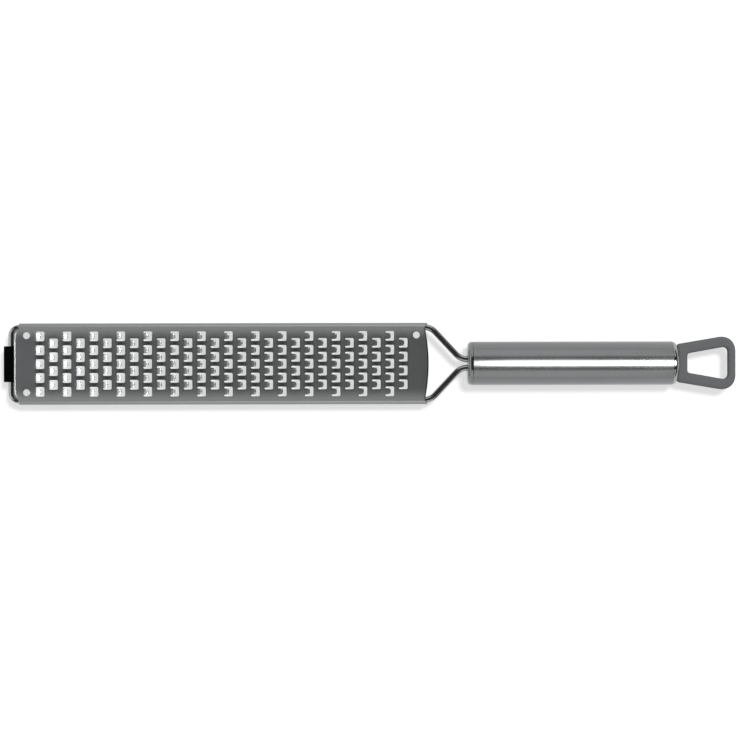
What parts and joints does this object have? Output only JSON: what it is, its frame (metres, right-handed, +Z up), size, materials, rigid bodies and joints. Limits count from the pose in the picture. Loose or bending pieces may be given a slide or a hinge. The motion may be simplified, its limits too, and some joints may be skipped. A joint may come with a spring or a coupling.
{
  "type": "flat hand grater",
  "caption": "Flat hand grater: a punched steel blade curled round a bent wire frame, with a rubber tip foot, a round tubular handle and a hanging loop.",
  "frame": {"origin": "middle of the object's underside, on the level that the foot and the handle rest on", "axes": "+X along the handle, from the tip to the hanging loop; +Y across the blade; +Z up, the way the teeth face"},
  "size_m": [0.38, 0.0424, 0.0226],
  "materials": {
    "blade_steel": "satin",
    "wire_steel": "polished",
    "handle_steel": "fine satin",
    "cap_steel": "half polished",
    "loop_plastic": "matte",
    "foot_rubber": "matte",
    "anchor_plastic": "matte"
  },
  "bodies": {
    "root": {"grating_blade": "blade_steel", "wire_frame": "wire_steel", "tip_foot": "foot_rubber", "front_cap": "cap_steel", "wire_anchor": "anchor_plastic", "handle_tube": "handle_steel", "rear_cap": "cap_steel", "hanging_loop": "loop_plastic", "loop_pin": "cap_steel"}
  },
  "joints": []
}
